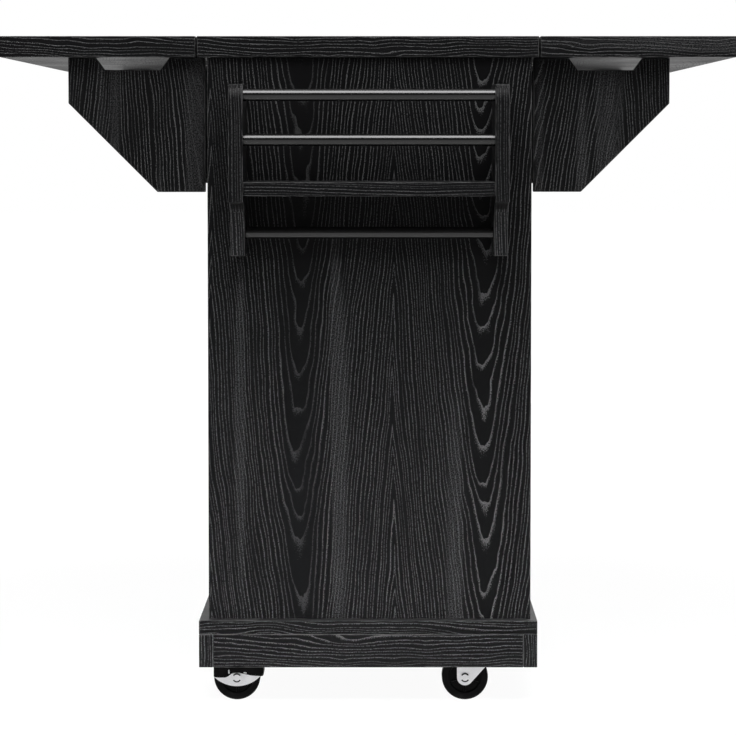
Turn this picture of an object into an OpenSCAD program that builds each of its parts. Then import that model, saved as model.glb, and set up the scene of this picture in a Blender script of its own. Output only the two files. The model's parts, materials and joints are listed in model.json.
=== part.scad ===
// Drop leaf kitchen island on casters, with a spice and towel rack on one end.
// X runs across the two leaves, Y runs along the body away from the rack, Z is up.
// The origin is on the floor, under the middle of the whole island.
// "Front" is the -X side with the drawer and doors, "near" is the -Y end with the rack.

/* [Worktop] */
// Height of the worktop's top face above the floor
height = 921; // [890:1:950]
// Length of worktop, leaves and base along the body
top_len = 864; // [840:1:960]
// Width of the fixed middle board of the worktop, and of the base
top_w = 464; // [450:1:520]
// Thickness of the worktop and the leaves
top_t = 28.5; // [24:0.5:36]
// Width of each drop leaf
leaf_w = 266; // [230:1:320]
// Gap between the worktop and a leaf
leaf_gap = 2; // [1.5:0.5:4]

/* [Body] */
// Thickness of every furniture board
board_t = 19; // [16:0.5:22]
// Overhang of the worktop past the body on the front side
front_overhang = 13; // [10:0.5:20]
// Overhang of the worktop past the body on the back side
back_overhang = 9; // [6:0.5:20]
// Overhang of the worktop past the end panels
end_overhang = 12; // [8:0.5:16]
// Height of the drawer row between its deck and the worktop
drawer_row_h = 178.5; // [160:0.5:200]
// Height of the shelf's underside above the cabinet floor
shelf_h = 270; // [200:1:320]
// Distance of the shelf's front edge behind the doors
shelf_setback = 20; // [5:1:100]

/* [Base] */
// Height of a caster from the floor to its mounting plate's top
caster_h = 84.6; // [80:0.5:90]
// Clear height under the base rails
floor_gap = 57.9; // [50:0.5:60]
// Size of a corner block along X
block_w = 100; // [90:1:120]
// Size of a corner block along Y
block_len = 110; // [100:1:130]

/* [Rack] */
// Depth of the rack from the end panel
rack_depth = 120; // [105:1:130]
// Distance of the rack's side boards inside the body's sides
rack_inset = 35.15; // [20:0.05:60]
// Drop from the worktop's underside to the top of the rack
rack_drop = 38; // [20:0.5:50]
// Height of the deep upper part of a rack side
rack_upper_h = 156.9; // [150:0.5:180]
// Full height of a rack side with its leg
rack_h = 229.5; // [220:0.5:260]
// Depth of a rack side's leg
rack_leg_depth = 66; // [56:1:72]
// Radius of the rounded front top corner of a rack side
rack_nose_r = 22; // [14:0.5:28]
// Radius of the cove between upper part and leg
rack_cove_r = 46; // [30:0.5:48]
// Diameter of the rack's rods
rod_d = 16; // [12:0.5:18]
// Distance of the guard rods' centres behind the rack's front
rod_inset = 18; // [14:0.5:24]
// Drop from the rack's top to the upper rod's centre
rod_drop = 14.8; // [12:0.1:24]
// Distance between the two guard rods' centres
rod_pitch = 59.3; // [50:0.1:64]
// Drop from the rack's top to the shelf's top face
rack_shelf_drop = 129.7; // [120:0.1:140]
// Distance of the rack shelf's edge behind the rack's front
rack_shelf_inset = 9.6; // [5:0.1:15]
// Drop from the rack's top to the towel rod's centre
towel_drop = 198.9; // [190:0.1:210]
// Distance of the towel rod's centre from the end panel
towel_reach = 43; // [30:0.5:44]
// Depth of the blind holes that hold the rods
rod_socket = 10; // [6:0.5:12]

/* [Leaf brackets] */
// Reach of a bracket board from its hinge edge
bracket_w = 186.4; // [180:0.1:195]
// Height of a bracket board
bracket_h = 183; // [170:0.5:184]
// Size of the bracket's 45 degree bottom corner cut
bracket_cut = 121.2; // [90:0.1:130]
// Gap between a bracket and the body's side
bracket_gap = 4; // [3.8:0.1:6]
// Distance of the front side's brackets from the end panels' outer faces
bracket_inset_front = 14.5; // [10:0.5:40]
// Distance of the back side's brackets from the end panels' outer faces
bracket_inset_back = 30; // [10:0.5:40]
// Distance from the bracket's outer edge to the notch in its top
notch_start = 37; // [32:0.5:42]
// Length of the notch at the bracket's top edge
notch_len = 101; // [96:0.5:104]
// Depth of the notch
notch_depth = 16.2; // [12:0.1:20]
// Run of each sloped end of the notch
notch_slope = 12; // [6:0.5:14]
// Length of the continuous hinge on a bracket
bracket_hinge_len = 148; // [120:1:160]
// Diameter of the continuous hinge's knuckles
bracket_knuckle_d = 3.4; // [3:0.1:3.6]
// Diameter of the continuous hinge's pin
bracket_pin_d = 1.6; // [1.2:0.1:1.8]

/* [Leaf hinges] */
// Length of a leaf hinge along the joint
leaf_hinge_len = 50; // [40:1:56]
// Reach of a leaf hinge's plate on each side of its pin
leaf_plate_w = 29; // [22:0.5:32]
// Thickness of a leaf hinge's plate
leaf_plate_t = 1.8; // [1.5:0.1:2.5]
// Diameter of a leaf hinge's knuckles
leaf_knuckle_d = 6; // [5:0.1:7]
// Diameter of a leaf hinge's pin
leaf_pin_d = 3; // [2.4:0.1:3.4]
// Distance of an end leaf hinge's middle from the bracket's pin beside it
leaf_hinge_run = 101; // [96:1:106]

/* [Drawer] */
// Width of the drawer opening between the fascia boards
drawer_open_w = 380; // [340:1:384]
// Reveal around the drawer front
drawer_reveal = 2; // [1.5:0.5:4]
// Gap between the drawer front and the worktop, for the leaf hinges
drawer_top_gap = 8; // [7:0.5:12]
// Clearance between the drawer box and the back panel
drawer_back_gap = 24; // [10:1:60]
// Height of the drawer's sides
drawer_side_h = 120; // [90:1:125]
// Thickness of the drawer's sides and back
drawer_side_t = 12; // [10:0.5:15]
// Thickness of the drawer's bottom
drawer_bottom_t = 6; // [4:0.5:8]
// Height of the drawer bottom's underside above the edge of the sides
drawer_bottom_up = 10; // [8:0.5:14]
// Height of the runner's step that carries the drawer
runner_step = 8; // [6:0.5:12]
// Height of the runner's outer lip above the step
runner_lip = 16; // [10:0.5:20]
// Width of the runner's outer lip
runner_lip_w = 6; // [4:0.5:8]

/* [Doors] */
// Gap round and between the doors
door_gap = 2.5; // [2.5:0.5:4]
// Setback of the doors' faces behind the body's front
door_setback = 4; // [3:0.5:8]
// Length of a door hinge
door_hinge_len = 60; // [40:1:80]
// Distance of a door hinge's middle from the door's top or bottom edge
door_hinge_inset = 75; // [60:1:110]
// Reach of a door hinge's plates along the board
door_plate_w = 18; // [12:0.5:18]
// Thickness of a door hinge's plates
door_plate_t = 0.8; // [0.6:0.1:0.9]
// Diameter of a door hinge's knuckles
door_knuckle_d = 5; // [4.6:0.1:6]
// Diameter of a door hinge's pin
door_pin_d = 2.4; // [2:0.1:2.8]
// Diameter of a knob's head
knob_d = 28; // [22:1:34]
// Projection of a knob from its board
knob_len = 25; // [20:1:30]
// Distance of a door knob from the door's free edge
knob_edge = 35; // [25:1:60]
// Distance of a door knob below the door's top edge
knob_drop = 90; // [50:1:120]

/* [Casters] */
// Diameter of a wheel
wheel_d = 64.4; // [60:0.2:66]
// Width of a wheel
wheel_w = 24; // [20:0.5:28]
// Trail of a wheel's axle behind the swivel axis
caster_trail = 24.25; // [20:0.25:28]
// Distance of the swivel axes from the sides of the base
caster_side_inset = 73; // [67:1:82]
// Distance of the swivel axes from the ends of the base
caster_inset = 77; // [74:1:90]
// Thickness of the caster's pressed steel
fork_t = 2; // [1.6:0.1:3]
// Diameter of the axle
axle_d = 6; // [5:0.1:7]
// Diameter of the axle's heads
axle_head_d = 13; // [11:0.5:15]
// Diameter of the swivel kingpin
kingpin_d = 10; // [8:0.5:12]
// Diameter of the fork's crown
crown_d = 50; // [46:1:54]
// Size of the caster's mounting plate along X
plate_w = 66; // [60:1:76]
// Size of the caster's mounting plate along Y
plate_len = 56; // [50:1:66]

/* [Hidden] */
$fn = 64;

// Clearances
seat = 0.3;          // between a piece and what carries it, where they don't bear face to face
fit = 0.05;          // radial, between a pin and its bore
cut = 1;             // overrun of a cutting shape

// Sides and ends, as signs: -1 is left and near, 1 is right and far
SIDES = [-1, 1];
LEFT = -1;
RIGHT = 1;
NEAR = -1;
FAR = 1;

// Along Y
rack_y = -(rack_depth - end_overhang + top_len) / 2;
near_y = rack_y + rack_depth;
top_y0 = near_y - end_overhang;
top_y1 = top_y0 + top_len;
far_y = top_y1 - end_overhang;
mid_y = (near_y + far_y) / 2;
body_len = far_y - near_y;
inner_len = body_len - 2 * board_t;

// Across X
front_x = -top_w / 2 + front_overhang;
back_x = top_w / 2 - back_overhang;
body_w = back_x - front_x;
mid_x = (front_x + back_x) / 2;

// Up Z
base_z = caster_h + board_t;
floor_z = base_z + board_t;
top_z = height - top_t;
deck_z = top_z - drawer_row_h - board_t;
shelf_z = floor_z + shelf_h;
shelf_pin_d = 5;
shelf_pin_len = 16;

// Rack
rack_w = body_w - 2 * rack_inset;
rack_top_z = top_z - rack_drop;
rod_len = rack_w - 2 * (board_t - rod_socket) - 2 * seat;
rods = [
    [rack_y + rod_inset, rack_top_z - rod_drop],
    [rack_y + rod_inset, rack_top_z - rod_drop - rod_pitch],
    [near_y - towel_reach, rack_top_z - towel_drop]
];

// Brackets
bracket_z = top_z - seat;
bracket_hinge_z = bracket_z - (bracket_h + bracket_hinge_len) / 2;
bracket_plate_t = 0.9;
bracket_knuckles = 6;

// Leaf hinges
leaf_axis_x = (top_w + leaf_gap) / 2;
leaf_axis_drop = leaf_knuckle_d / 2 - leaf_plate_t;
leaf_axis_z = top_z - leaf_axis_drop;
leaf_knuckles = 5;

// Drawer
runner_z = deck_z + board_t;
drawer_z = runner_z + runner_step + seat;
drawer_front_h = drawer_row_h - drawer_reveal - drawer_top_gap;
drawer_w = drawer_open_w - 2 * drawer_reveal - 2 * (runner_lip_w + seat);
drawer_x = front_x + board_t;
drawer_depth = back_x - board_t - drawer_x - drawer_back_gap;
groove = drawer_side_t / 2;

// Doors
door_w = (inner_len - 3 * door_gap) / 2;
door_h = deck_z - floor_z - 2 * door_gap;
door_z = floor_z + door_gap;
door_x = front_x + door_setback;
shelf_depth = back_x - door_x - 2 * board_t - shelf_setback;
door_axis_in = door_knuckle_d / 2 + seat;
door_axis_y = inner_len / 2 - door_axis_in;
door_knuckles = 5;

// Casters
caster_x = top_w / 2 - caster_side_inset;
wheel_r = wheel_d / 2;
wheel_side_gap = 1.5;
fork_in = wheel_w / 2 + wheel_side_gap;
fork_out = fork_in + fork_t;
fork_boss_r = 11.2;
fork_slope = 48;
plate_t = 2.5;
crown_z = caster_h - 11;
race_r = 19;
kingpin_head_r = 8;
kingpin_head_t = 2.5;
kingpin_z = crown_z - seat - kingpin_head_t;
brake_r = 45;
brake_t = 1.6;
brake_sag = 12;
brake_play = 0.4;
brake_top = 12;
brake_tail = wheel_r + 0.1;
brake_bar_x = wheel_r + 1.4;
brake_bar_w = 3.5;
brake_bar_h = 9;

wood_black = [0.10, 0.10, 0.105];
steel_silver = [0.78, 0.78, 0.79];
plastic_black = [0.06, 0.06, 0.06];
rod_black = [0.04, 0.04, 0.045];

// ---- Helpers ----

// A box with its lowest corner at p
module box(p, size) {
    translate(p) cube(size);
}

// An upright outline in the XZ plane, extruded along +Y from the origin
module upright(t) {
    rotate([90, 0, 0]) translate([0, 0, -t]) linear_extrude(t) children();
}

// Mirrors children from the right far quadrant into the one that the signs name
module quadrant(sx, sy) {
    mirror([sx < 0 ? 1 : 0, 0, 0]) mirror([0, sy < 0 ? 1 : 0, 0]) children();
}

// Knuckles of a hinge along +Z: every second one of n, from the first or the second
module knuckles(d, len, n, first) {
    pitch = len / n;
    for (i = [first : 2 : n - 1])
        translate([0, 0, i * pitch + seat / 2]) cylinder(d = d, h = pitch - seat);
}

// One half of a hinge that stands along +Z with its pin on the axis.
// Its plate lies from x0 to x1 and between y0 and y1, and tabs join it to its own knuckles.
module hinge_half(d, pin_d, len, n, first, x0, x1, y0, y1) {
    pitch = len / n;
    clear = d / 2 + seat;
    difference() {
        union() {
            knuckles(d, len, n, first);
            box([x0 + clear, y0, 0], [x1 - x0 - clear, y1 - y0, len]);
            for (i = [first : 2 : n - 1])
                box([x0, y0, i * pitch + seat / 2], [clear + cut, y1 - y0, pitch - seat]);
        }
        translate([0, 0, -cut]) cylinder(d = pin_d + 2 * fit, h = len + 2 * cut);
    }
}

module knob(x, y, z) {
    neck_r = knob_d / 5;
    rim = knob_d / 8;
    translate([x, y, z]) rotate([0, -90, 0]) rotate_extrude()
        difference() {
            union() {
                square([knob_d / 3, rim / 2]);
                square([neck_r, knob_len - rim]);
                translate([0, knob_len - 3 * rim]) square([knob_d / 2 - rim, 3 * rim]);
                translate([knob_d / 2 - rim, knob_len - 2 * rim]) circle(rim);
                translate([0, knob_len - 2 * rim]) square([knob_d / 2, rim / 2]);
            }
            translate([-knob_d, 0]) square([knob_d, 2 * knob_len]);
        }
}

// ---- Worktop and leaves ----

// Places children at each leaf hinge of a side: origin at the pin's middle, +X outwards
module at_leaf_hinges(side) {
    inset = side == LEFT ? bracket_inset_front : bracket_inset_back;
    run = body_len / 2 - inset - board_t - leaf_hinge_run;
    for (y = [-run, 0, run])
        translate([side * leaf_axis_x, mid_y + y, leaf_axis_z])
            mirror([side < 0 ? 1 : 0, 0, 0]) children();
}

// Mortise for the plates on one side of the joint
module leaf_hinge_mortise() {
    len = leaf_hinge_len + 2 * seat;
    box([-leaf_plate_w - seat, -len / 2, -cut],
        [2 * (leaf_plate_w + seat), len, cut + leaf_knuckle_d / 2 + seat]);
}

module worktop() {
    color(wood_black) difference() {
        box([-top_w / 2, top_y0, top_z], [top_w, top_len, top_t]);
        for (side = SIDES) at_leaf_hinges(side) leaf_hinge_mortise();
    }
}

module leaf(side) {
    x = side * (top_w + 2 * leaf_gap + leaf_w) / 2;
    color(wood_black) difference() {
        box([x - leaf_w / 2, top_y0, top_z], [leaf_w, top_len, top_t]);
        at_leaf_hinges(side) leaf_hinge_mortise();
    }
}

module leaf_left() { leaf(LEFT); }
module leaf_right() { leaf(RIGHT); }

// Half of a leaf hinge along Y: the fixed half lies towards -X, the moving half towards +X
module leaf_hinge_half(moving) {
    rotate([-90, 0, 0]) translate([0, 0, -leaf_hinge_len / 2])
        mirror([moving ? 0 : 1, 0, 0])
            hinge_half(leaf_knuckle_d, leaf_pin_d, leaf_hinge_len, leaf_knuckles, moving ? 1 : 0,
                0, leaf_plate_w, -leaf_knuckle_d / 2, -leaf_axis_drop);
}

module leaf_hinge_plates() {
    color(steel_silver) for (side = SIDES) at_leaf_hinges(side) leaf_hinge_half(false);
}

module leaf_hinges_left() {
    color(steel_silver) at_leaf_hinges(LEFT) leaf_hinge_half(true);
}

module leaf_hinges_right() {
    color(steel_silver) at_leaf_hinges(RIGHT) leaf_hinge_half(true);
}

// ---- Body ----

module end_panel(y) {
    color(wood_black) box([front_x, y, floor_z], [body_w, board_t, top_z - floor_z]);
}

// Bores in the end panels for the shelf pins
module at_shelf_pins() {
    inset = shelf_depth / 6;
    pin_x1 = back_x - board_t - inset;
    pin_x0 = pin_x1 - shelf_depth + 2 * inset;
    for (x = [pin_x0, pin_x1], end = SIDES)
        translate([x, mid_y + end * (body_len / 2 - board_t), shelf_z - shelf_pin_d / 2 - seat])
            rotate([90, 0, 0]) children();
}

module end_panel_near() {
    difference() {
        end_panel(near_y);
        at_shelf_pins() cylinder(d = shelf_pin_d + 2 * fit, h = shelf_pin_len + 2 * seat, center = true);
    }
}

module end_panel_far() {
    difference() {
        end_panel(far_y - board_t);
        at_shelf_pins() cylinder(d = shelf_pin_d + 2 * fit, h = shelf_pin_len + 2 * seat, center = true);
    }
}

module back_panel() {
    color(wood_black)
        box([back_x - board_t, near_y + board_t, floor_z], [board_t, inner_len, top_z - floor_z]);
}

module drawer_deck() {
    color(wood_black)
        box([front_x, near_y + board_t, deck_z], [body_w - board_t, inner_len, board_t]);
}

module fascia_boards() {
    w = (inner_len - drawer_open_w) / 2;
    color(wood_black) for (y = [near_y + board_t, far_y - board_t - w])
        box([front_x, y, runner_z], [board_t, w, drawer_row_h]);
}

module cabinet_shelf() {
    color(wood_black)
        box([back_x - board_t - shelf_depth, near_y + board_t + seat, shelf_z],
            [shelf_depth, inner_len - 2 * seat, board_t]);
}

module shelf_pins() {
    color(steel_silver) at_shelf_pins() cylinder(d = shelf_pin_d, h = shelf_pin_len, center = true);
}

// ---- Base ----

module base_board() {
    color(wood_black) box([-top_w / 2, top_y0, base_z], [top_w, top_len, board_t]);
}

module base_end_rails() {
    color(wood_black) for (y = [top_y0, top_y1 - board_t])
        box([-top_w / 2 + board_t, y, floor_gap], [top_w - 2 * board_t, board_t, base_z - floor_gap]);
}

module base_side_rails() {
    color(wood_black) for (x = [-top_w / 2, top_w / 2 - board_t])
        box([x, top_y0, floor_gap], [board_t, top_len, base_z - floor_gap]);
}

module caster_blocks() {
    color(wood_black)
        for (x = [-top_w / 2 + board_t, top_w / 2 - board_t - block_w],
             y = [top_y0 + board_t, top_y1 - board_t - block_len])
            box([x, y, caster_h], [block_w, block_len, board_t]);
}

// ---- Rack ----

// Outline of a rack side from the panel outwards: x is the depth, y the height above the leg's end
module rack_outline() {
    drop = rack_h - rack_upper_h;
    difference() {
        union() {
            square([rack_leg_depth, rack_h]);
            translate([0, drop]) square([rack_depth, rack_upper_h - rack_nose_r]);
            translate([0, drop]) square([rack_depth - rack_nose_r, rack_upper_h]);
            translate([rack_depth - rack_nose_r, rack_h - rack_nose_r]) circle(rack_nose_r);
            translate([rack_leg_depth - cut, drop - rack_cove_r])
                square([rack_cove_r + cut, rack_cove_r + cut]);
        }
        translate([rack_leg_depth + rack_cove_r, drop - rack_cove_r]) circle(rack_cove_r);
    }
}

module rack_side(side) {
    x = mid_x + side * (rack_w - board_t) / 2 - board_t / 2;
    color(wood_black) difference() {
        translate([x, near_y, rack_top_z - rack_h])
            rotate([90, 0, -90]) translate([0, 0, -board_t]) linear_extrude(board_t) rack_outline();
        for (rod = rods) at_rod(rod) cylinder(d = rod_d + 2 * fit, h = rod_len + 2 * seat, center = true);
    }
}

module at_rod(rod) {
    translate([mid_x, rod[0], rod[1]]) rotate([0, 90, 0]) children();
}

module rack_side_left() { rack_side(LEFT); }
module rack_side_right() { rack_side(RIGHT); }

module rack_shelf() {
    depth = rack_depth - rack_shelf_inset;
    w = rack_w - 2 * board_t;
    color(wood_black)
        box([mid_x - w / 2, near_y - depth, rack_top_z - rack_shelf_drop - board_t], [w, depth, board_t]);
}

module rack_rods() {
    color(rod_black) for (rod = rods) at_rod(rod) cylinder(d = rod_d, h = rod_len, center = true);
}

// ---- Leaf brackets ----

// Places children at a bracket's pin, at the bracket's top: +X outwards, -Y towards the body's middle
module at_bracket(side, end) {
    inset = side == LEFT ? bracket_inset_front : bracket_inset_back;
    x = side == LEFT ? front_x - bracket_gap / 2 : back_x + bracket_gap / 2;
    y = mid_y + end * (body_len / 2 - inset - board_t);
    translate([x, y, bracket_z]) quadrant(side, end) children();
}

// Bracket board: a corner cut at 45 degrees below and a notch in its top that clears a leaf hinge
module bracket_board() {
    x0 = bracket_gap / 2;
    x1 = x0 + bracket_w;
    n1 = x1 - notch_start;
    n0 = n1 - notch_len;
    color(wood_black) upright(board_t) polygon([
        [x0, 0], [n0, 0], [n0 + notch_slope, -notch_depth], [n1 - notch_slope, -notch_depth], [n1, 0],
        [x1, 0], [x1, -bracket_h + bracket_cut], [x1 - bracket_cut, -bracket_h], [x0, -bracket_h]
    ]);
}

// Half of a bracket's continuous hinge: the fixed half lies on the body, the moving half on the bracket
module bracket_hinge_half(moving) {
    reach = board_t - 2;
    side = moving ? bracket_gap / 2 : -bracket_gap / 2 + bracket_plate_t;
    color(steel_silver)
        translate([0, 0, bracket_hinge_z - bracket_z]) rotate([0, 0, 90])
            hinge_half(bracket_knuckle_d, bracket_pin_d, bracket_hinge_len, bracket_knuckles,
                moving ? 1 : 0, 0, reach, -side, -side + bracket_plate_t);
}

module bracket_left_near() { at_bracket(LEFT, NEAR) bracket_board(); }
module bracket_right_near() { at_bracket(RIGHT, NEAR) bracket_board(); }
module bracket_left_far() { at_bracket(LEFT, FAR) bracket_board(); }
module bracket_right_far() { at_bracket(RIGHT, FAR) bracket_board(); }

module bracket_hinge_plates() {
    for (side = SIDES, end = SIDES) at_bracket(side, end) bracket_hinge_half(false);
}

module bracket_hinge_left_near() { at_bracket(LEFT, NEAR) bracket_hinge_half(true); }
module bracket_hinge_right_near() { at_bracket(RIGHT, NEAR) bracket_hinge_half(true); }
module bracket_hinge_left_far() { at_bracket(LEFT, FAR) bracket_hinge_half(true); }
module bracket_hinge_right_far() { at_bracket(RIGHT, FAR) bracket_hinge_half(true); }

// ---- Drawer ----

module drawer_front() {
    w = drawer_open_w - 2 * drawer_reveal;
    color(wood_black) difference() {
        box([front_x, mid_y - w / 2, runner_z + drawer_reveal], [board_t, w, drawer_front_h]);
        drawer_bottom_slot();
    }
}

// Groove for the drawer's bottom, in its sides and front
module drawer_bottom_slot() {
    w = drawer_w - 2 * groove;
    box([drawer_x - groove, mid_y - w / 2, drawer_z + drawer_bottom_up],
        [drawer_depth + groove + cut, w, drawer_bottom_t]);
}

module drawer_sides() {
    color(wood_black) difference() {
        for (y = [mid_y - drawer_w / 2, mid_y + drawer_w / 2 - drawer_side_t])
            box([drawer_x, y, drawer_z], [drawer_depth, drawer_side_t, drawer_side_h]);
        drawer_bottom_slot();
    }
}

module drawer_back() {
    z = drawer_bottom_up + drawer_bottom_t;
    w = drawer_w - 2 * drawer_side_t;
    color(wood_black)
        box([drawer_x + drawer_depth - drawer_side_t, mid_y - w / 2, drawer_z + z],
            [drawer_side_t, w, drawer_side_h - z]);
}

module drawer_bottom() {
    w = drawer_w - 2 * groove;
    color(wood_black)
        box([drawer_x - groove, mid_y - w / 2, drawer_z + drawer_bottom_up],
            [drawer_depth + groove, w, drawer_bottom_t]);
}

// L-shaped rails on the deck: the drawer's sides slide on the step, inside the lip
module drawer_runners() {
    step_w = drawer_side_t + seat;
    lip_y = drawer_w / 2 + seat;
    color(wood_black) for (side = SIDES) translate([0, mid_y, 0]) mirror([0, side < 0 ? 1 : 0, 0]) {
        box([drawer_x + seat, lip_y - step_w, runner_z], [drawer_depth, step_w + runner_lip_w, runner_step]);
        box([drawer_x + seat, lip_y, runner_z], [drawer_depth, runner_lip_w, runner_step + runner_lip]);
    }
}

module drawer_knob() {
    color(steel_silver) knob(front_x, mid_y, runner_z + drawer_reveal + drawer_front_h / 2);
}

// ---- Doors ----

module door(end) {
    y = mid_y + end * (inner_len / 2 - door_gap - door_w / 2);
    color(wood_black) box([door_x, y - door_w / 2, door_z], [board_t, door_w, door_h]);
}

module door_near() { door(NEAR); }
module door_far() { door(FAR); }

module door_knob(end) {
    y = mid_y + end * (door_gap / 2 + knob_edge);
    color(steel_silver) knob(door_x, y, door_z + door_h - knob_drop);
}

module door_near_knob() { door_knob(NEAR); }
module door_far_knob() { door_knob(FAR); }

// Places children at both hinges of a door: origin at the pin's foot, +Y towards the door
module at_door_hinges(end) {
    for (z = [door_z + door_hinge_inset, door_z + door_h - door_hinge_inset])
        translate([door_x - door_axis_in, mid_y + end * door_axis_y, z - door_hinge_len / 2])
            mirror([0, end > 0 ? 1 : 0, 0]) children();
}

// Half of a door hinge: the fixed half lies on the end panel, the moving half on the door's edge
module door_hinge_half(moving) {
    y = moving ? door_gap - door_axis_in - door_plate_t : -door_axis_in;
    color(steel_silver)
        hinge_half(door_knuckle_d, door_pin_d, door_hinge_len, door_knuckles, moving ? 1 : 0,
            0, door_plate_w, y, y + door_plate_t);
}

module door_hinge_plates() {
    for (end = SIDES) at_door_hinges(end) door_hinge_half(false);
}

module door_near_hinges() { at_door_hinges(NEAR) door_hinge_half(true); }
module door_far_hinges() { at_door_hinges(FAR) door_hinge_half(true); }

// Pins of every hinge
module hinge_pins() {
    color(steel_silver) {
        for (side = SIDES, end = SIDES) at_bracket(side, end)
            translate([0, 0, bracket_hinge_z - bracket_z])
                cylinder(d = bracket_pin_d, h = bracket_hinge_len);
        for (side = SIDES) at_leaf_hinges(side)
            rotate([90, 0, 0]) cylinder(d = leaf_pin_d, h = leaf_hinge_len, center = true);
        for (end = SIDES) at_door_hinges(end) cylinder(d = door_pin_d, h = door_hinge_len);
    }
}

// ---- Casters ----

// Places children at a caster's swivel axis on the floor
module at_caster(side, end) {
    translate([side * caster_x, (top_y0 + top_y1) / 2 + end * (top_len / 2 - caster_inset), 0]) children();
}

// Mounting plate with the kingpin that the fork turns on
module caster_plate() {
    difference() {
        union() {
            box([-plate_w / 2, -plate_len / 2, caster_h - plate_t], [plate_w, plate_len, plate_t]);
            translate([0, 0, kingpin_z]) cylinder(d = kingpin_d, h = caster_h - kingpin_z);
            translate([0, 0, kingpin_z]) cylinder(r = kingpin_head_r, h = kingpin_head_t);
        }
        for (sx = SIDES, sy = SIDES)
            translate([sx * (plate_w / 2 - 9), sy * (plate_len / 2 - 9), caster_h - plate_t - cut])
                cylinder(d = 5.5, h = plate_t + 2 * cut);
    }
}

module caster_plates() {
    color(steel_silver) for (side = SIDES, end = SIDES) at_caster(side, end) caster_plate();
}

// Outline of a fork's cheek, seen along +Y, with the axle at the origin
module cheek_outline() {
    top = crown_z + fork_t - wheel_r;
    lean_x = fork_boss_r * sin(fork_slope);
    lean_y = -fork_boss_r * cos(fork_slope);
    edge_x = caster_trail + 3;
    union() {
        circle(fork_boss_r);
        polygon([
            [-fork_boss_r, 0], [lean_x, lean_y],
            [edge_x, lean_y + (edge_x - lean_x) * tan(fork_slope)], [edge_x, top],
            [0, top], [-fork_boss_r, top - fork_boss_r]
        ]);
    }
}

// Pressed steel fork: crown with a ball race under the plate, and two cheeks to the axle
module fork() {
    color(steel_silver) difference() {
        union() {
            translate([0, 0, crown_z]) cylinder(d = crown_d, h = fork_t);
            translate([0, 0, crown_z]) cylinder(r = race_r, h = caster_h - plate_t - seat - crown_z);
            box([-caster_trail, -fork_out, crown_z], [caster_trail + 3, 2 * fork_out, fork_t]);
            for (y = [-fork_out, fork_in])
                translate([-caster_trail, y, wheel_r]) upright(fork_t) cheek_outline();
        }
        translate([0, 0, crown_z - cut])
            cylinder(d = kingpin_d + 2 * fit, h = caster_h);
        translate([-caster_trail, 0, wheel_r]) rotate([90, 0, 0])
            cylinder(d = axle_d + 2 * fit, h = 4 * fork_out, center = true);
    }
}

module fork_left_near() { at_caster(LEFT, NEAR) fork(); }
module fork_right_near() { at_caster(RIGHT, NEAR) fork(); }
module fork_left_far() { at_caster(LEFT, FAR) fork(); }
module fork_right_far() { at_caster(RIGHT, FAR) fork(); }

// Half of a wheel's section: the radius along x, the width along y
module wheel_section() {
    rim_r = wheel_r - 3;
    disc_r = 21.8;
    hub_r = 9;
    half = wheel_w / 2;
    dish = 3;
    bore_r = axle_d / 2 + fit;
    translate([bore_r, -half]) square([hub_r - bore_r, wheel_w]);
    translate([hub_r - cut, -half + dish]) square([disc_r - hub_r + 2 * cut, wheel_w - 2 * dish]);
    translate([disc_r, -half]) square([rim_r - disc_r, wheel_w]);
    translate([rim_r - cut, -half + 3]) square([wheel_r - rim_r + cut, wheel_w - 6]);
    for (y = [-half + 3, half - 3]) translate([rim_r, y]) circle(3);
}

module wheel() {
    color(plastic_black)
        translate([-caster_trail, 0, wheel_r]) rotate([90, 0, 0]) rotate_extrude() wheel_section();
}

module wheel_left_near() { at_caster(LEFT, NEAR) wheel(); }
module wheel_right_near() { at_caster(RIGHT, NEAR) wheel(); }
module wheel_left_far() { at_caster(LEFT, FAR) wheel(); }
module wheel_right_far() { at_caster(RIGHT, FAR) wheel(); }

// Axle with a flat head outside each cheek, or outside the brake plates
module axle(braked) {
    grip = fork_out + (braked ? brake_play + brake_t : 0) + seat;
    head_t = 2;
    color(steel_silver) translate([-caster_trail, 0, wheel_r]) rotate([90, 0, 0]) {
        cylinder(d = axle_d, h = 2 * grip, center = true);
        for (s = SIDES) translate([0, 0, s * (grip + head_t / 2)])
            cylinder(d = axle_head_d, h = head_t, center = true);
    }
}

module axle_left_near() { at_caster(LEFT, NEAR) axle(true); }
module axle_right_near() { at_caster(RIGHT, NEAR) axle(false); }
module axle_left_far() { at_caster(LEFT, FAR) axle(true); }
module axle_right_far() { at_caster(RIGHT, FAR) axle(false); }

// Outline of a brake plate: a crescent that hangs round the axle, with the axle at the origin
module brake_outline() {
    rise = brake_r - brake_sag;
    intersection() {
        translate([0, rise]) circle(brake_r);
        translate([-brake_tail, -brake_r])
            square([brake_tail + brake_bar_x + brake_bar_w, brake_r + brake_top]);
    }
}

// Rocking brake: a crescent plate outside each cheek, joined by a foot bar under the swivel axis
module brake() {
    y = fork_out + brake_play;
    color(steel_silver) translate([-caster_trail, 0, wheel_r]) difference() {
        union() {
            for (y0 = [-y - brake_t, y]) translate([0, y0, 0]) upright(brake_t) brake_outline();
            box([brake_bar_x, -y - brake_t, brake_top - brake_bar_h],
                [brake_bar_w, 2 * (y + brake_t), brake_bar_h]);
        }
        rotate([90, 0, 0]) cylinder(d = axle_d + 2 * fit, h = 4 * fork_out, center = true);
    }
}

module brake_left_near() { at_caster(LEFT, NEAR) brake(); }
module brake_left_far() { at_caster(LEFT, FAR) brake(); }

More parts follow.
